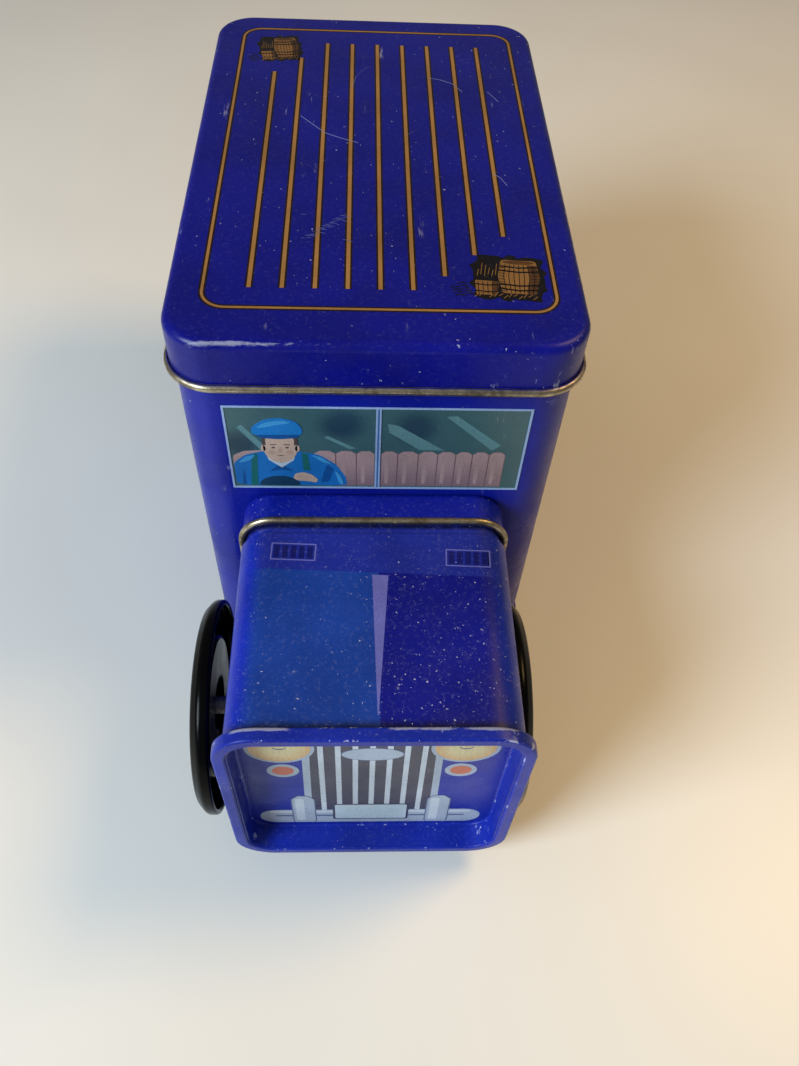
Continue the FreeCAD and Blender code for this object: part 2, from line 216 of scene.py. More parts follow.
def scattered_chips(tree, spot, amount):
    """Mask of small flakes with ragged outlines, in two sizes."""
    ragged = add(tree, "ShaderNodeTexNoise", {"Vector": spot, "Scale": 2600.0, "Detail": 2.0})
    shift = vector_maths(tree, "SUBTRACT", ragged.outputs["Color"], (0.5, 0.5, 0.5))[0]
    shift = vector_maths(tree, "MULTIPLY", shift, (CHIP_TEAR, CHIP_TEAR, CHIP_TEAR))[0]
    torn = vector_maths(tree, "ADD", spot, shift)[0]
    chips = None
    for scale, share, size in CHIP_SIZES:
        cells = add(tree, "ShaderNodeTexVoronoi", {"Vector": torn, "Scale": scale, "Randomness": 1.0})
        lot = add(tree, "ShaderNodeSeparateColor", {0: cells.outputs["Color"]}).outputs
        chosen = maths(tree, "LESS_THAN", lot[0], times(tree, amount, share))
        small = maths(tree, "LESS_THAN", cells.outputs["Distance"], times(tree, lot[1], size))
        chip = times(tree, chosen, small)
        chips = chip if chips is None else larger(tree, chips, chip)
    return chips


def build_print_wear():
    """Ink on tinplate: mottled and faded colour, pale chips where the ink has flaked, soft rubs."""
    tree, given, leave = new_group(
        "print_wear", {"Ink": (0.02, 0.02, 0.3, 1), "Chips": 0.3, "Rubs": 0.3, "Dust": 0.02,
                       "Bare": (0.55, 0.55, 0.68, 1)}, SURFACE)
    spot = object_place(tree)
    mottle = between(tree, noise(tree, spot, 55.0, 4.0), 0.3, 0.7, 0.82, 1.10)
    grain = noise(tree, spot, 1900.0, 2.0)
    shade = plus(tree, mottle, between(tree, grain, 0.3, 0.7, -0.07, 0.07))
    shade_grey = add(tree, "ShaderNodeCombineColor", {0: shade, 1: shade, 2: shade}).outputs[0]
    toned = blend_colour(tree, 1.0, given["Ink"], shade_grey, "MULTIPLY")
    dust = between(tree, noise(tree, spot, 1250.0, 3.0, 0.7), 0.52, 0.74)
    toned = blend_colour(tree, times(tree, dust, given["Dust"]), toned, given["Bare"])

    where_chips = between(tree, noise(tree, spot, 38.0, 3.0, 0.6), 0.32, 0.66)
    chips = scattered_chips(tree, spot, times(tree, where_chips, given["Chips"]))

    streak = add(tree, "ShaderNodeMapping", {"Vector": spot, "Rotation": (0.0, 0.3, 0.7),
                                             "Scale": (1.0, 0.16, 0.4)}).outputs[0]
    rub_lines = between(tree, noise(tree, streak, 420.0, 5.0, 0.65), 0.62, 0.75)
    rub_places = between(tree, noise(tree, spot, 70.0, 2.0), 0.52, 0.70)
    rubs = times(tree, times(tree, rub_lines, rub_places), given["Rubs"])

    rubbed = blend_colour(tree, times(tree, rubs, 0.55), toned, given["Bare"])
    worn = blend_colour(tree, times(tree, chips, 0.65), rubbed, given["Bare"])
    smears = between(tree, noise(tree, spot, 130.0, 4.0), 0.3, 0.75, 0.26, 0.42)
    gloss = plus(tree, smears, times(tree, rubs, 0.25))
    waves = plus(tree, noise(tree, spot, 60.0, 1.0), times(tree, grain, 0.05))
    height = minus(tree, waves, times(tree, chips, 0.12))
    return finish_group(tree, leave, {"Colour": worn, "Roughness": gloss, "Height": height})


def build_edge_wear():
    """Mask for ink rubbed off rounded edges: where a face lies between the axes, broken by noise."""
    tree, given, leave = new_group("edge_wear", {"Amount": 0.5}, MASK)
    facing = vector_maths(tree, "ABSOLUTE", object_normal(tree))[0]
    parts = add(tree, "ShaderNodeSeparateXYZ", {0: facing}).outputs
    flat = larger(tree, larger(tree, parts[0], parts[1]), parts[2])
    bend = between(tree, flat, 0.97, 0.80)
    broken = noise(tree, object_place(tree), 330.0, 6.0, 0.7)
    limit = minus(tree, 0.86, times(tree, given["Amount"], 0.34))
    rubbed = maths(tree, "GREATER_THAN", broken, limit)
    return finish_group(tree, leave, {"Mask": times(tree, bend, rubbed)})


def build_metal_wear():
    """Bare metal: tarnish clouds and fine drawn scratches."""
    tree, given, leave = new_group(
        "metal_wear", {"Metal": (0.6, 0.58, 0.52, 1), "Tarnish": (0.25, 0.17, 0.08, 1), "Amount": 0.5},
        SURFACE)
    spot = object_place(tree)
    cloud = noise(tree, spot, 260.0, 5.0, 0.65)
    fine = noise(tree, spot, 2600.0, 2.0)
    dirty = times(tree, between(tree, cloud, 0.38, 0.66), given["Amount"])
    colour = blend_colour(tree, dirty, given["Metal"], given["Tarnish"])
    rough = plus(tree, between(tree, cloud, 0.3, 0.7, 0.24, 0.50), between(tree, fine, 0.3, 0.7, -0.05, 0.05))
    return finish_group(tree, leave, {"Colour": colour, "Roughness": rough, "Height": fine})


def build_rubbed_line():
    """Mask for ink rubbed off along a straight edge that runs across the van."""
    tree, given, leave = new_group("rubbed_line", {"Away": 0.0, "Width": 0.6 * MM, "Amount": 0.5}, MASK)
    spot = object_place(tree)
    along = add(tree, "ShaderNodeMapping", {"Vector": spot, "Scale": (0.35, 1.0, 1.0)}).outputs[0]
    torn = noise(tree, along, 520.0, 6.0, 0.7)
    places = between(tree, noise(tree, spot, 45.0, 2.0), 0.30, 0.62)
    near = between(tree, distance(tree, given["Away"]), given["Width"], 0.0)
    level = plus(tree, times(tree, times(tree, near, places), given["Amount"]), torn)
    return finish_group(tree, leave, {"Mask": between(tree, level, 0.86, 1.02)})


def build_seam_shade_and_dirt():
    """Mask for a dark line along a seam that runs across the van: painted shade, with dirt packed into the
    seam.
    """
    tree, given, leave = new_group("seam_shade_and_dirt", {"Away": 0.0, "Width": 1.2 * MM}, MASK)
    cloud = between(tree, noise(tree, object_place(tree), 300.0, 4.0), 0.2, 0.6, 0.45, 1.0)
    near = between(tree, distance(tree, given["Away"]), given["Width"], 0.0)
    return finish_group(tree, leave, {"Mask": times(tree, near, cloud)})


def build_facing():
    """Masks for faces that look in at a tin's upright middle, and for faces that look up or down."""
    tree, given, leave = new_group("facing", {"Middle": 0.0}, dict.fromkeys(("Inward", "Up", "Down"), NUMBER))
    normal = add(tree, "ShaderNodeSeparateXYZ", {0: object_normal(tree)}).outputs
    x, y = position(tree)[:2]
    back = minus(tree, y, given["Middle"])
    outward = plus(tree, times(tree, normal[0], x), times(tree, normal[1], back))
    return finish_group(tree, leave, {"Inward": between(tree, outward, -10 * MM, -14 * MM),
                                      "Up": between(tree, normal[2], 0.6, 0.8),
                                      "Down": between(tree, normal[2], -0.6, -0.8)})


PRINT_WEAR = build_print_wear()
SEAM_SHADE_AND_DIRT = build_seam_shade_and_dirt()
RUBBED_LINE = build_rubbed_line()
EDGE_WEAR = build_edge_wear()
METAL_WEAR = build_metal_wear()
FACING = build_facing()


# ---- materials ------------------------------------------------------------------------
PRINT_GLOSS = 0.20           # varnish over the inks
PRINT_BUMP, ENAMEL_BUMP, METAL_BUMP = 0.12 * MM, 0.06 * MM, 0.03 * MM
RUBBED_PALE = (0.42, 0.45, 0.66, 1)
RUBBED_GREY = (0.27, 0.29, 0.42, 1)
# Painted shade with dirt, for the dark lines along the hood's seams.
SHADE_AND_DIRT = (0.004, 0.004, 0.010, 1)
INSIDE_TARNISH, CURL_TARNISH = 0.35, 0.85


def empty_material(name):
    material = bpy.data.materials.new(name)
    material.use_nodes = True
    tree = material.node_tree
    return material, tree, tree.nodes["Principled BSDF"]


def place_group(tree, group, inputs):
    return add(tree, "ShaderNodeGroup", inputs, node_tree=group).outputs


def finish_shader(tree, shader, colour, roughness, height, depth):
    tree.links.new(colour, shader.inputs["Base Color"])
    tree.links.new(roughness, shader.inputs["Roughness"])
    bump = add(tree, "ShaderNodeBump", {"Height": height, "Strength": 1.0, "Distance": depth})
    tree.links.new(bump.outputs[0], shader.inputs["Normal"])


def patterned_ink(name, pattern, chips, rubs):
    """Printed colour lying on the tin. pattern(tree) gives the colour."""
    material, tree, shader = empty_material(name)
    wear = place_group(tree, PRINT_WEAR, {"Ink": pattern(tree), "Chips": chips, "Rubs": rubs})
    finish_shader(tree, shader, wear["Colour"], wear["Roughness"], wear["Height"], PRINT_BUMP)
    return material


def plain(colour):
    return lambda tree: (*colour, 1)


def ink(name, colour, chips=0.25, rubs=0.3):
    """One plain colour, varnished."""
    material = patterned_ink(name, plain(colour), chips, rubs)
    shader = material.node_tree.nodes["Principled BSDF"]
    shader.inputs["Specular IOR Level"].default_value = PRINT_GLOSS
    return material


def printed_tin(name, colour_of, chips_of, rubs, dust, edges, bare_of=None, lines_of=None,
                tarnish_of=lambda tree: INSIDE_TARNISH):
    """Blue tinplate. Each function takes the tree: colour_of gives the ink, chips_of how many chips,
    bare_of a mask of unprinted metal, lines_of one of edges rubbed pale, tarnish_of its tarnish."""
    material, tree, shader = empty_material(name)
    wear = place_group(tree, PRINT_WEAR, {"Ink": colour_of(tree), "Chips": chips_of(tree),
                                          "Rubs": rubs, "Dust": dust})
    edge = place_group(tree, EDGE_WEAR, {"Amount": edges})["Mask"]
    colour = blend_colour(tree, times(tree, edge, 0.8), wear["Colour"], RUBBED_PALE)
    if lines_of:
        colour = blend_colour(tree, times(tree, lines_of(tree), 0.8), colour, RUBBED_GREY)
    roughness = wear["Roughness"]
    if bare_of:
        bare = bare_of(tree)
        metal = place_group(tree, METAL_WEAR, {"Metal": (0.50, 0.44, 0.31, 1),
                                               "Tarnish": (0.10, 0.07, 0.05, 1),
                                               "Amount": tarnish_of(tree)})
        colour = blend_colour(tree, bare, colour, metal["Colour"])
        mixed = add(tree, "ShaderNodeMix", {0: bare, 2: roughness, 3: metal["Roughness"]})
        roughness = mixed.outputs[0]
        tree.links.new(bare, shader.inputs["Metallic"])
    finish_shader(tree, shader, colour, roughness, wear["Height"], PRINT_BUMP)
    shader.inputs["Specular IOR Level"].default_value = PRINT_GLOSS
    return material


def curl_mask(tree, place, curl_end):
    """Mask of the bare rolled edge, which ends at curl_end."""
    return between(tree, place, curl_end + CURL_EDGE, curl_end)


def inside_of_roof(tree):
    """The rolled edge and the whole inside."""
    curl = curl_mask(tree, position(tree)[2], roof_low.z + CURL_TALL)
    facing = place_group(tree, FACING, {"Middle": roof_middle.y})
    return larger(tree, curl, larger(tree, facing["Inward"], facing["Down"]))


def roof_tarnish(tree):
    """Most on the rolled edge, little inside."""
    curl_end = roof_low.z + CURL_TALL
    return between(tree, position(tree)[2], curl_end + 1.0 * MM, curl_end, INSIDE_TARNISH, CURL_TARNISH)


def inside_of_body(tree):
    return place_group(tree, FACING, {"Middle": roof_middle.y})["Inward"]


def floor_of_body(tree):
    """The base plate's upper face, inside the walls."""
    inset = 0.6 * MM
    x, y = position(tree)[:2]
    within = maths(tree, "LESS_THAN", distance(tree, x), body_right_x - inset)
    behind = maths(tree, "GREATER_THAN", y, front_wall_y + inset)
    up = place_group(tree, FACING, {"Middle": roof_middle.y})["Up"]
    return times(tree, up, times(tree, within, behind))


def collar_curl(tree):
    return curl_mask(tree, position(tree)[1], collar_low.y + COLLAR_CURL_TALL)


def roof_front_rub(tree):
    """Along the roof's front edge, more to the left."""
    x, y, z = position(tree)[:3]
    line = place_group(tree, RUBBED_LINE, {"Away": minus(tree, y, roof_front_y + 0.7 * MM), "Width": 1.1 * MM,
                                           "Amount": between(tree, x, 36 * MM, -30 * MM, 0.20, 0.52)})
    return times(tree, line["Mask"], between(tree, z, roof_high.z - 2.0 * MM, roof_high.z - 0.4 * MM))


def nose_rim_rub(tree):
    """Along the rear of the nose rim's top."""
    y, z = position(tree)[1:3]
    line = place_group(tree, RUBBED_LINE, {"Away": minus(tree, y, nose_low.y + 2.7 * MM), "Width": 1.2 * MM,
                                           "Amount": 0.62})
    return times(tree, line["Mask"], between(tree, z, hood_high.z, hood_high.z + 1.0 * MM))


ULTRAMARINE = (0.0020, 0.0035, 0.180)
BODY_BLUE = (0.0030, 0.0090, 0.250)
HOOD_LIGHT = (0.0080, 0.0400, 0.270, 1)
HOOD_DARK = (0.0040, 0.0065, 0.190, 1)
HOOD_BAND = (0.0110, 0.0210, 0.250, 1)
HOOD_SIDE = (0.0030, 0.0180, 0.340, 1)
NOSE_BLUE = (0.0070, 0.0210, 0.310)
HOOD_TOP_HALF = 26.5 * MM
HOOD_BAND_FRONT = nose_low.y + 41.9 * MM
HOOD_PRINT_TWIST = 0.040     # the hood's print lies a little askew


def hood_colour(tree):
    """Blue sides; on top a violet band by the collar, a lighter left half and a dark right half; painted
    shade with dirt along the seams at the nose rim and the collar.
    """
    x, y, z = position(tree)[:3]
    top = times(tree, between(tree, z, hood_high.z - 4.0 * MM, hood_high.z - 0.6 * MM),
                between(tree, distance(tree, x), HOOD_TOP_HALF + 2.4 * MM, HOOD_TOP_HALF - 1.0 * MM))
    halves = blend_colour(tree, between(tree, x, 0.8 * MM, 1.0 * MM), HOOD_LIGHT, HOOD_DARK)
    along = plus(tree, y, times(tree, x, HOOD_PRINT_TWIST))
    band = between(tree, along, HOOD_BAND_FRONT - 0.1 * MM, HOOD_BAND_FRONT + 0.1 * MM)
    printed = blend_colour(tree, top, HOOD_SIDE, blend_colour(tree, band, halves, HOOD_BAND))
    # Painted shade with dirt: a dark band just behind the nose rim and a dark line along the collar's curl.
    for seam_y, width in ((nose_low.y + 3.2 * MM, 3.0 * MM), (collar_low.y, 1.3 * MM)):
        seam_dark = place_group(tree, SEAM_SHADE_AND_DIRT, {"Away": minus(tree, y, seam_y), "Width": width})
        printed = blend_colour(tree, times(tree, seam_dark["Mask"], 0.9), printed, SHADE_AND_DIRT)
    return printed


def hood_chips(tree):
    """More nicks towards the nose and to the right."""
    x, y = position(tree)[:2]
    ahead = between(tree, y, collar_low.y, nose_low.y + 10 * MM, 0.8, 1.7)
    return times(tree, ahead, between(tree, x, -10 * MM, 25 * MM, 0.8, 1.7))


ROOF_TIN = printed_tin("roof_tin", plain(ULTRAMARINE), lambda tree: 0.35, 0.9, 0.025, 0.55,
                       inside_of_roof, roof_front_rub, roof_tarnish)
BODY_TIN = printed_tin("body_tin", plain(BODY_BLUE), lambda tree: 0.25, 0.6, 0.02, 0.25, inside_of_body)
BASE_TIN = printed_tin("base_tin", plain(BODY_BLUE), lambda tree: 0.25, 0.6, 0.02, 0.25, floor_of_body)
COLLAR_TIN = printed_tin("collar_tin", plain(BODY_BLUE), lambda tree: 0.6, 0.5, 0.05, 0.45,
                         collar_curl, None, lambda tree: CURL_TARNISH)
HOOD_TIN = printed_tin("hood_tin", hood_colour, hood_chips, 0.4, 0.06, 0.3)
NOSE_TIN = printed_tin("nose_tin", plain(NOSE_BLUE), lambda tree: 0.6, 0.5, 0.05, 0.75, None, nose_rim_rub)


def bare_metal(name, colour, tarnish, amount):
    material, tree, shader = empty_material(name)
    wear = place_group(tree, METAL_WEAR, {"Metal": (*colour, 1), "Tarnish": (*tarnish, 1), "Amount": amount})
    finish_shader(tree, shader, wear["Colour"], wear["Roughness"], wear["Height"], METAL_BUMP)
    shader.inputs["Metallic"].default_value = 1.0
    return material


STEEL = bare_metal("plated_steel", (0.62, 0.62, 0.60), (0.20, 0.15, 0.11), 0.5)
WIRE = bare_metal("steel_wire", (0.45, 0.45, 0.44), (0.16, 0.10, 0.06), 0.7)
BRASS = bare_metal("eyelet_brass", (0.55, 0.40, 0.18), (0.18, 0.11, 0.05), 0.6)


def wheel_enamel():
    """Gloss black enamel with bright nicks along the rolled edge."""
    material, tree, shader = empty_material("wheel_enamel")
    wear = place_group(tree, PRINT_WEAR, {"Ink": (0.0014, 0.0014, 0.0017, 1), "Chips": 0.25, "Rubs": 0.15,
                                          "Dust": 0.0, "Bare": (0.12, 0.11, 0.10, 1)})
    edge = place_group(tree, EDGE_WEAR, {"Amount": 0.12})["Mask"]
    colour = blend_colour(tree, edge, wear["Colour"], (0.22, 0.20, 0.18, 1))
    finish_shader(tree, shader, colour, times(tree, wear["Roughness"], 0.65), wear["Height"], ENAMEL_BUMP)
    shader.inputs["IOR"].default_value = 1.17
    return material


BLACK_ENAMEL = wheel_enamel()


def floor_material():
    material, tree, shader = empty_material("pale_floor")
    cloud = between(tree, noise(tree, object_place(tree), 4.0, 3.0), 0.3, 0.7)
    tone = blend_colour(tree, cloud, (0.72, 0.70, 0.67, 1), (0.78, 0.77, 0.74, 1))
    tree.links.new(tone, shader.inputs["Base Color"])
    shader.inputs["Roughness"].default_value = 0.38
    return material


def lay_floor():
    bm = bmesh.new()
    bmesh.ops.create_grid(bm, x_segments=1, y_segments=1, size=FLOOR_HALF)
    mesh = bpy.data.meshes.new("floor")
    bm.to_mesh(mesh)
    bm.free()
    mesh.materials.append(floor_material())
    floor = bpy.data.objects.new("floor", mesh)
    bpy.context.scene.collection.objects.link(floor)


def dress(node, material):
    """Give a CAD node its finish."""
    mesh = nodes[node].data
    mesh.materials.clear()
    mesh.materials.append(material)


def dress_frame():
    for node, material in (("roof_lid", ROOF_TIN), ("body_shell", BODY_TIN), ("body_base", BASE_TIN),
                           ("hood_collar", COLLAR_TIN), ("hood_shell", HOOD_TIN), ("nose_panel", NOSE_TIN),
                           ("collar_rivets", STEEL), ("front_axle", WIRE), ("rear_axle", WIRE)):
        dress(node, material)
    for axle in ("front", "rear"):
        for side in ("left", "right"):
            for part, material in (("wheel", BLACK_ENAMEL), ("hub_bush", STEEL), ("axle_cap", STEEL),
                                   ("washer", STEEL), ("eyelet", BRASS)):
                dress(f"{axle}_{side}_{part}", material)


# ---- printed pictures -----------------------------------------------------------------
# A print is a very thin closed sheet lying on the tin. Its shapes are drawn flat in
# millimetres, and a plane puts them on the van.
BURIED = 0.005               # how far a print reaches into the tin, mm
PLY = 0.012                  # thickness of one layer of print, mm


def plane(origin, across, up):
    """Matrix from drawing millimetres to the van."""
    across, up = Vector(across), Vector(up)
    out = across.cross(up)
    turn = Matrix((across, up, out)).transposed().to_4x4()
    return Matrix.Translation(origin) @ turn @ Matrix.Diagonal((MM, MM, MM, 1))


ROOF = plane((0, roof_middle.y, roof_high.z), (1, 0, 0), (0, 1, 0))
VENT_MIDDLE = 46.8           # the hood's print is turned about this point, mm behind the nose
HOOD_TOP = (plane((1.4 * MM, nose_low.y, hood_high.z), (1, 0, 0), (0, 1, 0))
            @ Matrix.Translation((0, VENT_MIDDLE, 0)) @ Matrix.Rotation(-HOOD_PRINT_TWIST, 4, "Z")
            @ Matrix.Translation((0, -VENT_MIDDLE, 0)))
WINDOW = plane((0.4 * MM, front_wall_y, collar_high.z + 0.65 * MM), (1, 0, 0), (0, 0, 1))
NOSE_SHIFT_X, NOSE_SHIFT_Z = -0.3 * MM, -1.7 * MM
NOSE = plane((NOSE_SHIFT_X, nose_face_y, hood_middle_z + NOSE_SHIFT_Z), (1, 0, 0), (0, 0, 1))


def oval(bm, x, y, half_x, half_y, sides=48):
    made = bmesh.ops.create_circle(bm, cap_ends=True, segments=sides, radius=1.0)["verts"]
    bmesh.ops.scale(bm, vec=(half_x, half_y, 1), verts=made)
    bmesh.ops.translate(bm, vec=(x, y, 0), verts=made)
    return made


def outline(bm, points, soft=0.0):
    """Flat shape through points. soft rounds each corner by that share of the sides beside it."""
    corners = [bm.verts.new((x, y, 0)) for x, y in points]
    bm.faces.new(corners)
    if soft:
        bmesh.ops.bevel(bm, geom=corners, offset=soft * 100, offset_type="PERCENT", segments=6,
                        profile=0.5, affect="VERTICES", material=-1)


def outlines(bm, soft, *shapes):
    for points in shapes:
        outline(bm, points, soft)


def mirrored(left, right):
    """Two pairs of ends, on the left and on the right of the middle."""
    return (-right, -left), (left, right)


def block(bm, left, low, right, high, corner=0.0):
    """Upright rectangle with rounded corners."""
    corners = [bm.verts.new((x, y, 0)) for x, y in ((left, low), (right, low), (right, high), (left, high))]
    face = bm.faces.new(corners)
    if corner:
        made = bmesh.ops.bevel(bm, geom=corners, offset=corner, offset_type="OFFSET", segments=8,
                               profile=0.5, affect="VERTICES", material=-1)
        face = next(f for v in made["verts"] for f in v.link_faces)
    return face


def stroke(bm, points, shift):
    """Thin ribbon: a line through points drawn out by shift."""
    path = [bm.verts.new((x, y, 0)) for x, y in points]
    edges = [bm.edges.new(pair) for pair in zip(path, path[1:])]
    made = bmesh.ops.extrude_edge_only(bm, edges=edges)["geom"]
    moved = [part for part in made if isinstance(part, bmesh.types.BMVert)]
    bmesh.ops.translate(bm, vec=(*shift, 0), verts=moved)


def frame_line(bm, left, low, right, high, corner, width):
    """Line of one width round a rounded rectangle."""
    face = block(bm, left, low, right, high, corner)
    bm.normal_update()
    bmesh.ops.inset_region(bm, faces=[face], thickness=width, use_boundary=True, use_even_offset=True)
    bmesh.ops.delete(bm, geom=[face], context="FACES_ONLY")


def print_on(name, where, layer, material, draw, body="root"):
    """Make one print: draw(bm) gives its flat shapes, layer its place in the pile of inks."""
    bm = bmesh.new()
    draw(bm)
    top = PLY * layer
    bm.normal_update()
    bmesh.ops.reverse_faces(bm, faces=[face for face in bm.faces if face.normal.z < 0])
    bmesh.ops.solidify(bm, geom=bm.faces[:], thickness=top + BURIED)
    lowest = min(v.co.z for v in bm.verts)
    bmesh.ops.translate(bm, vec=(0, 0, -BURIED - lowest), verts=bm.verts)
    bmesh.ops.transform(bm, matrix=where, verts=bm.verts)
    bmesh.ops.recalc_face_normals(bm, faces=bm.faces)
    mesh = bpy.data.meshes.new(name)
    bm.to_mesh(mesh)
    bm.free()
    mesh.materials.append(material)
    piece = bpy.data.objects.new(name, mesh)
    bpy.context.scene.collection.objects.link(piece)
    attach(piece, body)
    return piece


GOLD = ink("gold_ink", (0.270, 0.140, 0.045), 0.2, 0.6)
DARK_EDGE = ink("dark_edge_ink", (0.010, 0.004, 0.006), 0.2, 0.3)
BLACK = ink("black_ink", (0.0035, 0.0030, 0.0040), 0.2, 0.3)
KEG_GOLD = ink("keg_gold_ink", (0.185, 0.092, 0.028), 0.3, 0.5)
SHADE_GOLD = ink("shaded_gold_ink", (0.065, 0.028, 0.009), 0.2, 0.4)


# ---- the roof's lines and corner ornaments --------------------------------------------
LINE_STEP = 7.0
LINE_WIDTH = 0.88
BORDER_WIDTH = 0.62
LINE_EDGE = 0.46             # dark ink showing each side of a gold line
LINE_FRONT, LINE_BACK = -53.4, 55.1
LINE_SHORT_BACK = {0: 38.4, 1: 46.4}                 # lines cut short by the back ornament
LINE_SHORT_FRONT = {6: -48.5, 7: -40.9, 8: -33.9}    # and by the front one
ROOF_ART_SHIFT = 0.6
BORDER_HALF_X, BORDER_HALF_Y, BORDER_SHIFT = 37.7, 61.4, 1.5
BORDER_CORNER = 5.4


def roof_stripes(bm, grow):
    for i in range(9):
        x = ROOF_ART_SHIFT + (i - 4) * LINE_STEP
        low = LINE_SHORT_FRONT.get(i, LINE_FRONT)
        high = LINE_SHORT_BACK.get(i, LINE_BACK)
        half = LINE_WIDTH / 2 + grow
        block(bm, x - half, low, x + half, high)


def roof_border(bm, grow):
    half_x, half_y = BORDER_HALF_X + BORDER_WIDTH / 2 + grow, BORDER_HALF_Y + BORDER_WIDTH / 2 + grow
    frame_line(bm, ROOF_ART_SHIFT - half_x, BORDER_SHIFT - half_y, ROOF_ART_SHIFT + half_x,
               BORDER_SHIFT + half_y, BORDER_CORNER + grow, BORDER_WIDTH + 2 * grow)


def print_gold_line(name, where, draw, body="root"):
    """Gold over a wider dark line."""
    print_on(f"{name}_edges", where, 1, DARK_EDGE, lambda bm: draw(bm, LINE_EDGE), body)
    print_on(f"{name}_gold", where, 2, GOLD, lambda bm: draw(bm, 0.0), body)


def print_roof():
    for name, draw in (("stripe", roof_stripes), ("border", roof_border)):
        print_gold_line(f"roof_{name}", ROOF, draw, "roof_lid")
    print_keg("back", ROOF @ Matrix.Translation((-27.0, 51.4, 0)) @ Matrix.Rotation(0.15, 4, "Z")
              @ Matrix.Diagonal((0.70, 0.88, 1, 1)))
    print_keg("front", ROOF @ Matrix.Translation((27.9, -48.6, 0)) @ Matrix.Rotation(-0.06, 4, "Z")
              @ Matrix.Diagonal((0.94, 0.94, 1, 1)))


KEG_X, KEG_LOW, KEG_HIGH = 3.0, -5.6, 6.6


def keg_ground(bm):
    """Dark ground with a ragged edge, and broken strokes trailing off to the left."""
    points = []
    for i in range(44):
        turn = i * math.tau / 44
        ragged = 1.0 + 0.11 * math.sin(i * 2.7) * math.cos(i * 1.3 + 0.5)
        square = 1.0 / max(abs(math.cos(turn)), abs(math.sin(turn)), 0.80)
        points.append((0.6 + 8.4 * ragged * square * math.cos(turn), 8.0 * ragged * square * math.sin(turn)))
    outline(bm, points)
    for i in range(9):
        x, y = -9.6 - 0.42 * i, -7.0 + 1.05 * (i % 5) - 0.12 * i
        stroke(bm, [(x, y), (x + 1.2, y + 0.5), (x + 2.1, y + 0.2)], (0.1, 0.45))


def keg_body(bm):
    """Upright keg, and a small lidded tub in front of it."""
    outline(bm, [(KEG_X - 3.9, KEG_LOW), (KEG_X + 3.9, KEG_LOW), (KEG_X + 4.9, 0.4), (KEG_X + 4.1, KEG_HIGH),
                 (KEG_X - 4.1, KEG_HIGH), (KEG_X - 4.9, 0.4)], 0.12)
    outline(bm, [(-6.9, -6.4), (-2.2, -6.6), (-1.6, -1.6), (-7.2, -1.4)], 0.08)


def keg_shading(bm):
    """Shaded sides of both, and the keg's top."""
    top = KEG_HIGH - 1.6
    outline(bm, [(KEG_X + 1.6, KEG_LOW), (KEG_X + 3.9, KEG_LOW), (KEG_X + 4.9, 0.4), (KEG_X + 4.1, top),
                 (KEG_X + 2.2, top), (KEG_X + 2.5, 0.4)])
    oval(bm, KEG_X, KEG_HIGH - 0.8, 3.7, 0.75, 24)
    outline(bm, [(-3.4, -6.5), (-2.2, -6.6), (-1.6, -1.6), (-3.1, -1.5)])


def keg_lines(bm):
    """Stave joints, hoops and hatching on the keg, and staves and hoops on the tub."""
    for i in range(-3, 4):
        stroke(bm, [(KEG_X + i, KEG_LOW + 0.2), (KEG_X + i * 1.22, 0.4), (KEG_X + i * 1.05, KEG_HIGH - 1.7)],
               (0.17, 0))
    for y, reach in ((-4.3, 4.15), (-2.6, 4.5), (2.4, 4.7), (4.0, 4.4)):
        stroke(bm, [(KEG_X - reach, y), (KEG_X, y - 0.5), (KEG_X + reach, y)], (0, 0.52))
    for i in range(9):
        y = KEG_LOW + 0.8 + i * 1.05
        stroke(bm, [(KEG_X - 4.6, y), (KEG_X - 3.3, y - 0.15)], (0, 0.2))
        stroke(bm, [(KEG_X + 2.9, y + 0.4), (KEG_X + 4.5, y + 0.55)], (0, 0.2))
    for i in range(5):
        stroke(bm, [(-6.4 + i * 1.05, -6.3), (-6.6 + i * 1.1, -1.9)], (0.15, 0))
    for y in (-5.4, -3.0):
        stroke(bm, [(-7.1, y), (-4.5, y - 0.3), (-1.9, y)], (0, 0.4))


def keg_straws(bm):
    """Bright straws round the foot, and short upright strokes above the tub."""
    for i in range(13):
        x = -7.4 + i * 1.12
        stroke(bm, [(x, -7.4 + 0.4 * (i % 3)), (x + 0.9, -6.3 + 0.5 * ((i * 2) % 3))], (0.16, -0.1))
    for i in range(6):
        x = -6.8 + i * 0.85
        stroke(bm, [(x, 0.2 + 0.5 * (i % 2)), (x + 0.4, 2.6 + 0.8 * ((i * 3) % 4))], (0.18, 0))


def print_keg(name, where):
    for layer, part, material, draw in (
            (1, "ground", BLACK, keg_ground), (2, "body", KEG_GOLD, keg_body),
            (3, "shading", SHADE_GOLD, keg_shading), (4, "lines", BLACK, keg_lines),
            (5, "straws", KEG_GOLD, keg_straws)):
        print_on(f"{name}_keg_{part}", where, layer, material, draw, "roof_lid")


# ---- the body's sides -----------------------------------------------------------------
SIDE_HALF, SIDE_LOW, SIDE_HIGH, SIDE_CORNER = 56.0, 13.5, 97.5, 6.0


def side_border(bm, grow):
    half = BORDER_WIDTH / 2 + grow
    frame_line(bm, -SIDE_HALF - half, SIDE_LOW - half, SIDE_HALF + half, SIDE_HIGH + half, SIDE_CORNER + half,
               BORDER_WIDTH + 2 * grow)


def print_sides():
    """A gold pin line round each side wall, as on the roof."""
    for side, wall_x in (("left", body_left_x), ("right", body_right_x)):
        where = plane((wall_x, roof_middle.y, 0), (0, -1 if side == "left" else 1, 0), (0, 0, 1))
        print_gold_line(f"{side}_side", where, side_border)


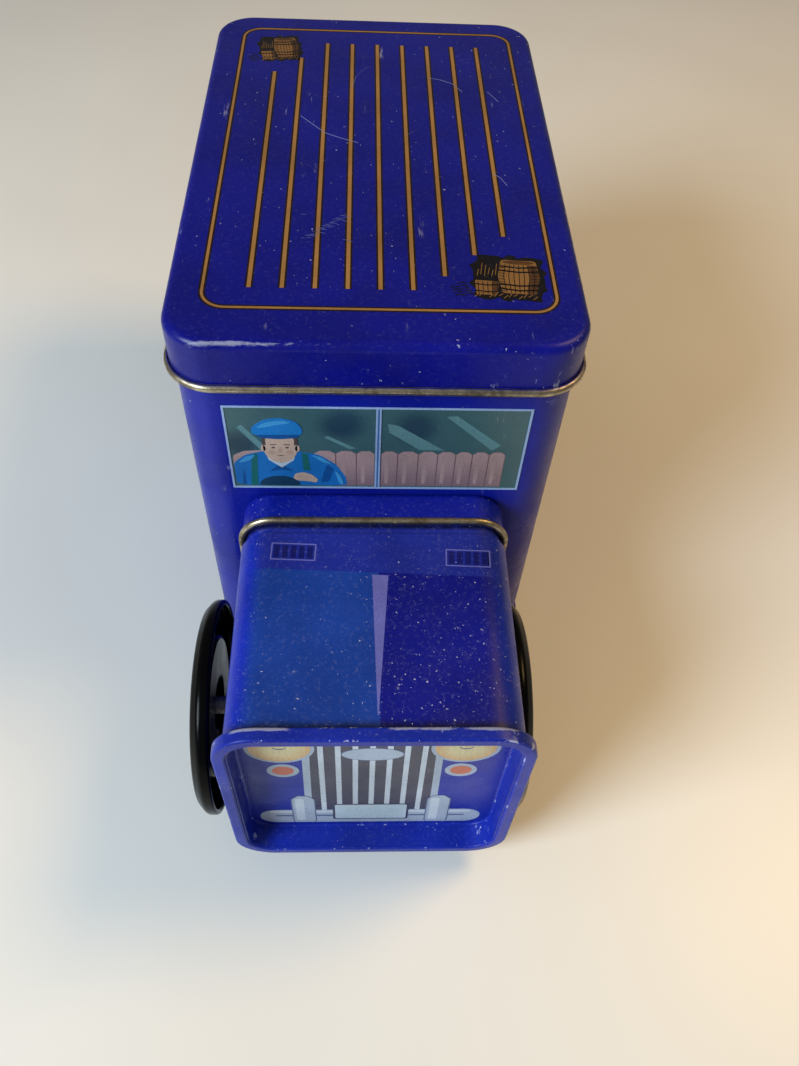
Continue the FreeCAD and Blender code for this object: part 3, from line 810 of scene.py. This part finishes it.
# ---- scratches through the roof's ink -------------------------------------------------
def roof_scratches(bm):
    for points in (((-19.3, 15.7), (-16.3, 12.0), (-12.9, 7.9), (-9.1, 5.8), (-4.6, 3.7)),
                   ((-6.3, 30.6), (-5.3, 37.1), (-3.1, 41.1), (-0.9, 42.9)),
                   ((14.3, 37.1), (17.6, 36.2), (20.8, 34.3), (23.2, 30.1)),
                   ((30.0, 30.5), (31.4, 28.0), (32.6, 25.4)),
                   ((7.3, 7.9), (9.1, 9.0), (10.7, 11.4)),
                   ((28.4, -8.7), (30.0, -10.3), (31.4, -13.7))):
        stroke(bm, points, (0.10, 0.13))


def roof_scuffs(bm):
    """A patch of short crossed rubs on the left."""
    for i in range(22):
        x = -17.5 + 10.0 * ((i * 0.618) % 1.0)
        y = -27.0 - 10.0 * ((i * 0.377) % 1.0)
        lean = 0.9 * math.sin(i * 1.9)
        long = 1.2 + 1.5 * ((i * 0.271) % 1.0)
        stroke(bm, [(x, y), (x + long * 0.5, y - lean * 0.4), (x + long, y - lean * long * 0.5)],
               (0.05, 0.11))


def scratch_roof():
    bare = ink("scratch_bare", (0.150, 0.175, 0.400), 0.3, 0.9)
    faint = ink("scuff_bare", (0.085, 0.105, 0.300), 0.3, 0.9)
    print_on("roof_scratches", ROOF, 3, bare, roof_scratches, "roof_lid")
    print_on("roof_scuffs", ROOF, 3, faint, roof_scuffs, "roof_lid")


# ---- the windscreen -------------------------------------------------------------------
PANE_WIDTH, PANE_HEIGHT = 68.0, 27.1
PANE_LINE = 0.5
SEAT_TOP = 13.1
PLEATS_LEFT = (-14.6, -9.6, -4.8, -0.5)
PLEATS_RIGHT = (0.9, 4.8, 9.6, 14.1, 18.3, 22.2, 26.1, 29.9)
FACE_X, FACE_Y = -22.2, 14.0
FACE_HALF_X, FACE_HALF_Y = 3.9, 5.0
GLASS_GREEN, GLASS_CLOUD = (0.040, 0.105, 0.115, 1), (0.016, 0.048, 0.072, 1)
GLASS_CLOUDS = ((-7.5, 96.5, 7.5), (9.0, 95.5, 7.0), (-31.0, 90.0, 6.0))     # x, z and reach, mm


def glass_colour(tree):
    """Smoky green with darker clouds."""
    spot = object_place(tree)
    colour = GLASS_GREEN
    for x, z, reach in GLASS_CLOUDS:
        away = vector_maths(tree, "DISTANCE", spot, (x * MM, front_wall_y, z * MM))["Value"]
        colour = blend_colour(tree, between(tree, away, reach * MM, reach * 0.25 * MM), colour, GLASS_CLOUD)
    return colour


def seat_colour(tree):
    """Dusty pink leather, lighter towards its top."""
    low, high = collar_high.z + 0.02 * PANE_HEIGHT * MM, collar_high.z + SEAT_TOP * MM
    up = between(tree, position(tree)[2], low, high)
    return blend_colour(tree, up, (0.215, 0.140, 0.150, 1), (0.370, 0.250, 0.250, 1))


def pleats():
    """Left and right edge of each pleat."""
    return [pair for edges in (PLEATS_LEFT, PLEATS_RIGHT) for pair in zip(edges, edges[1:])]


def draw_pleats(bm, shrink):
    top = SEAT_TOP - shrink * 0.6
    for left, right in pleats():
        width = right - left
        outline(bm, [(left + shrink, 0.7), (right - shrink, 0.7), (right - shrink, top - 0.9),
                     (right - width * 0.28, top), (left + width * 0.28, top), (left + shrink, top - 0.9)])
    outline(bm, [(-33.3, 6.0), (-29, 6.0), (-24, 11), (-26, SEAT_TOP), (-30.5, SEAT_TOP - 0.3),
                 (-33.3, 11.2)], 0.2)


def draw_pleat_lights(bm):
    """Paler stripe down the left of each pleat."""
    for left, right in pleats():
        middle = left + (right - left) * 0.36
        outline(bm, [(middle - 0.45, 1.6), (middle + 0.45, 1.6), (middle + 0.6, SEAT_TOP - 1.6),
                     (middle, SEAT_TOP - 0.7), (middle - 0.6, SEAT_TOP - 1.6)], 0.2)


# Plain shapes: how far the corners are rounded, then the outlines.
WINDOW_SHAPES = {
    "streaks": (0.0, [(2.2, 22.2), (4.6, 21.6), (15.4, 13.6), (9.8, 13.6), (2.6, 19.4)],
                [(15.2, 24.6), (17.6, 24.9), (28.4, 15.4), (26.5, 13.7)],
                [(-31.5, 20.5), (-30.4, 21.4), (-24.8, 13.2), (-26.6, 13.0)],
                [(-12.2, 17.6), (-11.2, 18.0), (-4.8, 13.9), (-6.4, 13.7)]),
    "shirt": (0.16, [(-33.3, 0.7), (-33.3, 8.6), (-30.6, 11.4), (-25.9, 12.9), (-22.2, 10.2), (-18.4, 12.9),
                     (-13.2, 11.6), (-9.6, 8.4), (-7.4, 4.2), (-6.9, 0.7)]),
    "braces": (0.0, [(-29.9, 0.7), (-28.2, 0.7), (-27.6, 12.0), (-29.0, 11.6)],
               [(-17.2, 6.2), (-15.6, 6.2), (-16.0, 12.0), (-17.4, 12.3)]),
    "neck": (0.2, [(-24.6, 12.4), (-19.8, 12.4), (-19.9, 10.2), (-22.2, 8.4), (-24.5, 10.2)]),
    "collar": (0.0, [(-25.6, 12.0), (-24.4, 10.0), (-22.2, 8.7), (-20.0, 10.0), (-18.8, 12.0), (-19.3, 9.8),
                     (-22.2, 7.2), (-25.1, 9.8)]),
    "steering_wheel": (0.2, [(-28.2, 0.7), (-27.0, 2.9), (-24.6, 4.0), (-21.6, 4.1), (-19.0, 3.0),
                             (-17.8, 0.7)]),
    "hand": (0.25, [(-19.8, 3.4), (-19.2, 5.0), (-17.2, 5.5), (-15.3, 4.7), (-13.9, 2.9), (-14.3, 1.8),
                    (-16.4, 2.3), (-18.8, 2.5)]),
    "cap": (0.3, [(-28.5, 18.4), (-28.2, 20.8), (-25.4, 23.1), (-21.8, 23.8), (-18.4, 22.8), (-16.9, 20.4),
                  (-17.2, 18.2), (-22.2, 17.6)]),
    "cap_peak": (0.3, [(-27.6, 18.3), (-26.4, 17.3), (-22.2, 16.9), (-18.2, 17.4), (-17.4, 18.5),
                       (-22.2, 18.4)]),
    "lights": (0.3, [(-27.4, 20.6), (-24.8, 22.5), (-21.2, 23.0), (-19.2, 22.2), (-22.6, 21.6),
                     (-25.6, 20.6)],
               [(-32.4, 8.6), (-30.4, 10.8), (-27.9, 11.7), (-29.4, 9.6)],
               [(-15.4, 11.8), (-12.6, 10.8), (-10.4, 8.4), (-12.6, 9.2)],
               [(-10.0, 6.6), (-8.6, 4.6), (-7.7, 1.2), (-8.9, 1.4)]),
}


def shape(name):
    """Function that draws one entry of the table."""
    return lambda bm: outlines(bm, *WINDOW_SHAPES[name])


def draw_shirt_folds(bm):
    outline(bm, [(-31.9, 1.0), (-31.2, 6.6), (-30.9, 1.0)])
    outlines(bm, 0.2,
             [(-13.4, 2.0), (-11.6, 8.6), (-10.0, 6.6), (-11.4, 2.0)],
             [(-25.4, 5.6), (-22.6, 8.4), (-19.2, 5.8), (-22.4, 6.4)])


def draw_head(bm):
    oval(bm, FACE_X, FACE_Y, FACE_HALF_X, FACE_HALF_Y)
    for side in (-1, 1):
        oval(bm, FACE_X + side * FACE_HALF_X, FACE_Y - 0.2, 0.55, 1.05, 16)


def draw_hair(bm):
    """Short sides below the cap."""
    for side in (-1, 1):
        x = FACE_X + side * FACE_HALF_X * 0.93
        outline(bm, [(x - 0.45, FACE_Y + 0.9), (x + 0.45, FACE_Y + 0.9), (x + 0.3, FACE_Y + 4.0),
                     (x - 0.3, FACE_Y + 4.0)], 0.2)


def draw_cheeks(bm):
    for side in (-1, 1):
        oval(bm, FACE_X + side * FACE_HALF_X * 0.52, FACE_Y - FACE_HALF_Y * 0.30, 0.85, 0.65, 24)
    outline(bm, [(FACE_X - 0.55, FACE_Y - 1.5), (FACE_X + 0.55, FACE_Y - 1.5), (FACE_X + 0.3, FACE_Y + 0.2),
                 (FACE_X - 0.3, FACE_Y + 0.2)], 0.3)


def draw_features(bm):
    """Plain eyes at mid height, brows, and a level mouth a third of the way up from the chin."""
    for side in (-1, 1):
        eye = FACE_X + side * FACE_HALF_X * 0.40
        oval(bm, eye, FACE_Y + 0.1, 0.42, 0.26, 16)
        outline(bm, [(eye - 0.75, FACE_Y + 0.95), (eye + 0.75, FACE_Y + 0.95), (eye + 0.6, FACE_Y + 1.2),
                     (eye - 0.6, FACE_Y + 1.2)])
    outline(bm, [(FACE_X - 1.0, FACE_Y - 2.62), (FACE_X, FACE_Y - 2.8), (FACE_X + 1.0, FACE_Y - 2.62),
                 (FACE_X, FACE_Y - 2.5)])


def draw_fingers(bm):
    for i in range(3):
        x = -18.6 + i * 0.95
        block(bm, x, 3.0, x + 0.12, 4.6 - i * 0.1)


def draw_pane(bm):
    block(bm, -PANE_WIDTH / 2, 0, PANE_WIDTH / 2, PANE_HEIGHT)


def draw_pane_frame(bm):
    half = PANE_WIDTH / 2
    frame_line(bm, -half - PANE_LINE / 2, -PANE_LINE / 2, half + PANE_LINE / 2, PANE_HEIGHT + PANE_LINE / 2,
               0, PANE_LINE)
    block(bm, -0.45, PANE_LINE / 2, 0.75, PANE_HEIGHT - PANE_LINE / 2)


def draw_pane_frame_shade(bm):
    block(bm, -0.05, PANE_LINE / 2, 0.35, PANE_HEIGHT - PANE_LINE / 2)


def print_windscreen():
    shirt_blue = ink("shirt_ink", (0.010, 0.135, 0.420), 0.1, 0.3)
    cap_blue = ink("cap_ink", (0.012, 0.165, 0.470), 0.1, 0.3)
    cap_shade = ink("cap_shade_ink", (0.006, 0.070, 0.250), 0.1, 0.2)
    skin = ink("skin_ink", (0.470, 0.340, 0.270), 0.05, 0.3)
    skin_shade = ink("skin_shade_ink", (0.410, 0.275, 0.215), 0.05, 0.3)
    hair = ink("hair_ink", (0.075, 0.050, 0.045), 0.05, 0.2)
    frame_blue = ink("frame_ink", (0.290, 0.400, 0.630), 0.3, 0.5)
    for layer, name, material, draw in (
            (1, "pane", patterned_ink("window_glass_ink", glass_colour, 0.1, 0.4), draw_pane),
            (2, "streaks", ink("glass_streak_ink", (0.100, 0.220, 0.240), 0.1, 0.5), shape("streaks")),
            (2, "seat_seams", ink("seam_ink", (0.150, 0.090, 0.105), 0.1, 0.2),
             lambda bm: draw_pleats(bm, 0.0)),
            (3, "seat_pleats", patterned_ink("seat_ink", seat_colour, 0.1, 0.5),
             lambda bm: draw_pleats(bm, 0.13)),
            (4, "pleat_lights", ink("pleat_light_ink", (0.350, 0.240, 0.240), 0.1, 0.6), draw_pleat_lights),
            (5, "shirt", shirt_blue, shape("shirt")),
            (6, "shirt_folds", cap_shade, draw_shirt_folds),
            (7, "braces", ink("braces_ink", (0.010, 0.120, 0.120), 0.1, 0.2), shape("braces")),
            (7, "neck", skin_shade, shape("neck")),
            (8, "collar", ink("collar_ink", (0.420, 0.500, 0.580), 0.1, 0.2), shape("collar")),
            (8, "steering_wheel", ink("steering_ink", (0.008, 0.040, 0.085), 0.1, 0.3),
             shape("steering_wheel")),
            (9, "hand", skin, shape("hand")),
            (10, "fingers", skin_shade, draw_fingers),
            (9, "head", skin, draw_head),
            (10, "hair", hair, draw_hair),
            (10, "cheeks", skin_shade, draw_cheeks),
            (11, "features", hair, draw_features),
            (12, "cap", cap_blue, shape("cap")),
            (13, "cap_peak", cap_shade, shape("cap_peak")),
            (13, "lights", ink("cap_light_ink", (0.045, 0.270, 0.560), 0.1, 0.3), shape("lights")),
            (14, "frame", frame_blue, draw_pane_frame),
            (15, "frame_shade", ink("frame_shade_ink", (0.050, 0.130, 0.330), 0.2, 0.2),
             draw_pane_frame_shade)):
        print_on(f"window_{name}", WINDOW, layer, material, draw)


# ---- the hood's top -------------------------------------------------------------------
VENT_LEFT, VENT_RIGHT = 15.0, 25.4
VENT_FRONT, VENT_BACK = 44.4, 49.2
WEDGE_BACK, WEDGE_POINT = 41.2, 6.6


def draw_vent_frames(bm):
    for left, right in mirrored(VENT_LEFT, VENT_RIGHT):
        frame_line(bm, left, VENT_FRONT, right, VENT_BACK, 0, 0.3)


def draw_vent_slats(bm):
    step = (VENT_RIGHT - VENT_LEFT - 0.8) / 5
    for side in (-1, 1):
        for i in range(5):
            x = side * (VENT_LEFT + 0.4 + step * (i + 0.5))
            block(bm, x - step * 0.34, VENT_FRONT + 0.65, x + step * 0.34, VENT_BACK - 0.65, 0.15)


def draw_wedge(bm):
    outline(bm, [(-1.8, WEDGE_BACK), (0.6, WEDGE_POINT), (0.8, WEDGE_POINT), (1.9, WEDGE_BACK)])


def print_hood_top():
    lavender = ink("lavender_ink", (0.120, 0.125, 0.420), 0.3, 0.3)
    dark = ink("slat_ink", (0.006, 0.008, 0.120), 0.3, 0.2)
    for name, material, draw in (("wedge", lavender, draw_wedge), ("vent_frames", lavender, draw_vent_frames),
                                 ("vent_slats", dark, draw_vent_slats)):
        print_on(f"hood_{name}", HOOD_TOP, 1, material, draw)


# ---- the nose -------------------------------------------------------------------------
LAMP_X, LAMP_Y, LAMP_RADIUS = 20.5, 18.3, 7.7
SIDE_LAMP_X, SIDE_LAMP_Y, SIDE_LAMP_RADIUS = 20.4, 6.0, 3.7
GRILLE_HALF, GRILLE_LOW, GRILLE_HIGH = 14.9, -22.0, 27.6
BAR_STEP, BAR_WIDTH = 3.87, 1.25
BUMPER_HALF, BUMPER_LOW, BUMPER_HIGH = 27.9, -27.8, -19.2
OVER_RIDER_LEFT, OVER_RIDER_RIGHT = 13.7, 19.7


def grille_shape(bm, grow):
    half = GRILLE_HALF + grow
    outline(bm, [(-half, GRILLE_LOW), (half, GRILLE_LOW), (half - 0.6, GRILLE_HIGH - 5.0),
                 (half - 3.2, GRILLE_HIGH - 1.2 + grow), (0, GRILLE_HIGH + grow),
                 (3.2 - half, GRILLE_HIGH - 1.2 + grow), (0.6 - half, GRILLE_HIGH - 5.0)], 0.12)


def draw_grille_bars(bm):
    for i in range(-3, 4):
        x = i * BAR_STEP
        block(bm, x - BAR_WIDTH / 2, GRILLE_LOW, x + BAR_WIDTH / 2, GRILLE_HIGH - 1.6 - abs(i) * 0.45)


def draw_lamp_glass(bm):
    for side in (-1, 1):
        oval(bm, side * LAMP_X, LAMP_Y, LAMP_RADIUS - 0.9, LAMP_RADIUS - 0.9)


def draw_lamp_rings(bm):
    for side in (-1, 1):
        oval(bm, side * LAMP_X, LAMP_Y, LAMP_RADIUS, LAMP_RADIUS)
        oval(bm, side * SIDE_LAMP_X, SIDE_LAMP_Y, SIDE_LAMP_RADIUS, SIDE_LAMP_RADIUS)


def draw_lamp_flutes(bm):
    """Fine upright lines moulded in the lens."""
    for side in (-1, 1):
        for i in range(-4, 5):
            x = side * LAMP_X + i * 1.35
            half = math.sqrt((LAMP_RADIUS - 1.4) ** 2 - (i * 1.35) ** 2)
            block(bm, x - 0.11, LAMP_Y - half, x + 0.11, LAMP_Y + half)


def draw_side_lenses(bm):
    for side in (-1, 1):
        oval(bm, side * SIDE_LAMP_X, SIDE_LAMP_Y, SIDE_LAMP_RADIUS - 1.2, SIDE_LAMP_RADIUS - 1.3)


def draw_badge(bm, shrink):
    oval(bm, 0, 15.0, 7.1 - shrink, 3.4 - shrink)


def draw_bumper(bm):
    block(bm, -BUMPER_HALF, BUMPER_LOW, BUMPER_HALF, BUMPER_HIGH, 4.1)


def draw_bumper_line(bm):
    middle = (BUMPER_LOW + BUMPER_HIGH) / 2 + 0.4
    block(bm, -BUMPER_HALF + 4, middle - 0.45, BUMPER_HALF - 4, middle + 0.45, 0.4)


def draw_over_riders(bm, shrink):
    for left, right in mirrored(OVER_RIDER_LEFT, OVER_RIDER_RIGHT):
        outline(bm, [(left + shrink, BUMPER_LOW + 0.1), (right - shrink, BUMPER_LOW + 0.1),
                     (right - shrink, -12.0), (right - 1.8, -9.6 - shrink), (left + 1.8, -9.6 - shrink),
                     (left + shrink, -12.0)], 0.1)


def draw_plate(bm, shrink):
    block(bm, -9.5 + shrink, -25.7 + shrink, 9.5 - shrink, -15.2 - shrink, 0.6)


def draw_lamp_bulbs(bm):
    """Small hooded bulb in the middle of each lens."""
    for side in (-1, 1):
        points = ((-1.5, 0.3), (-0.8, -0.5), (0.8, -0.5), (1.5, 0.3))
        stroke(bm, [(side * LAMP_X + x, LAMP_Y + y) for x, y in points], (0, 0.45))


def draw_bumper_light(bm):
    """Bright upper edge of the bumper."""
    block(bm, -BUMPER_HALF + 2.6, BUMPER_HIGH - 1.9, BUMPER_HALF - 2.6, BUMPER_HIGH - 0.5, 0.6)


def draw_over_rider_light(bm):
    for left, right in mirrored(OVER_RIDER_LEFT, OVER_RIDER_RIGHT):
        block(bm, left + 1.0, BUMPER_LOW + 1.6, left + 3.2, -11.4, 0.9)


def lamp_colour(tree):
    """Cream that turns orange towards the lamp's ring."""
    x, y, z = position(tree)[:3]
    across = minus(tree, distance(tree, minus(tree, x, NOSE_SHIFT_X)), LAMP_X * MM)
    up = minus(tree, z, hood_middle_z + NOSE_SHIFT_Z + LAMP_Y * MM)
    both = add(tree, "ShaderNodeCombineXYZ", {0: across, 1: up}).outputs[0]
    away = vector_maths(tree, "LENGTH", both)["Value"]
    return blend_colour(tree, between(tree, away, 2.5 * MM, 7.2 * MM), (0.700, 0.610, 0.330, 1),
                        (0.620, 0.370, 0.150, 1))


def print_nose():
    silver = ink("silver_ink", (0.360, 0.430, 0.540), 0.4, 0.4)
    pale = ink("pale_silver_ink", (0.520, 0.590, 0.680), 0.4, 0.4)
    slate = ink("slate_ink", (0.062, 0.062, 0.092), 0.3, 0.4)
    shade = ink("silver_shade_ink", (0.110, 0.150, 0.260), 0.3, 0.3)
    for layer, name, material, draw in (
            (1, "grille_shell", silver, lambda bm: grille_shape(bm, 1.4)),
            (2, "grille_dark", slate, lambda bm: grille_shape(bm, -0.3)),
            (3, "grille_bars", pale, draw_grille_bars),
            (4, "badge_edge", shade, lambda bm: draw_badge(bm, 0.0)),
            (5, "badge", silver, lambda bm: draw_badge(bm, 0.25)),
            (4, "lamp_rings", silver, draw_lamp_rings),
            (5, "lamp_glass", patterned_ink("lamp_ink", lamp_colour, 0.2, 0.3), draw_lamp_glass),
            (6, "lamp_flutes", ink("flute_ink", (0.640, 0.560, 0.340), 0.2, 0.3), draw_lamp_flutes),
            (7, "lamp_bulbs", shade, draw_lamp_bulbs),
            (5, "side_lenses", ink("orange_ink", (0.560, 0.155, 0.095), 0.2, 0.3), draw_side_lenses),
            (4, "bumper", silver, draw_bumper),
            (5, "bumper_light", pale, draw_bumper_light),
            (5, "bumper_line", shade, draw_bumper_line),
            (6, "over_rider_edges", shade, lambda bm: draw_over_riders(bm, 0.0)),
            (7, "over_riders", silver, lambda bm: draw_over_riders(bm, 0.3)),
            (8, "over_rider_light", pale, draw_over_rider_light),
            (6, "plate_edge", slate, lambda bm: draw_plate(bm, 0.0)),
            (7, "plate", ink("plate_ink", (0.480, 0.600, 0.700), 0.3, 0.4), lambda bm: draw_plate(bm, 0.55))):
        print_on(f"nose_{name}", NOSE, layer, material, draw)


place_camera()
light_studio()
lay_floor()
dress_frame()
print_roof()
scratch_roof()
print_sides()
print_windscreen()
print_hood_top()
print_nose()
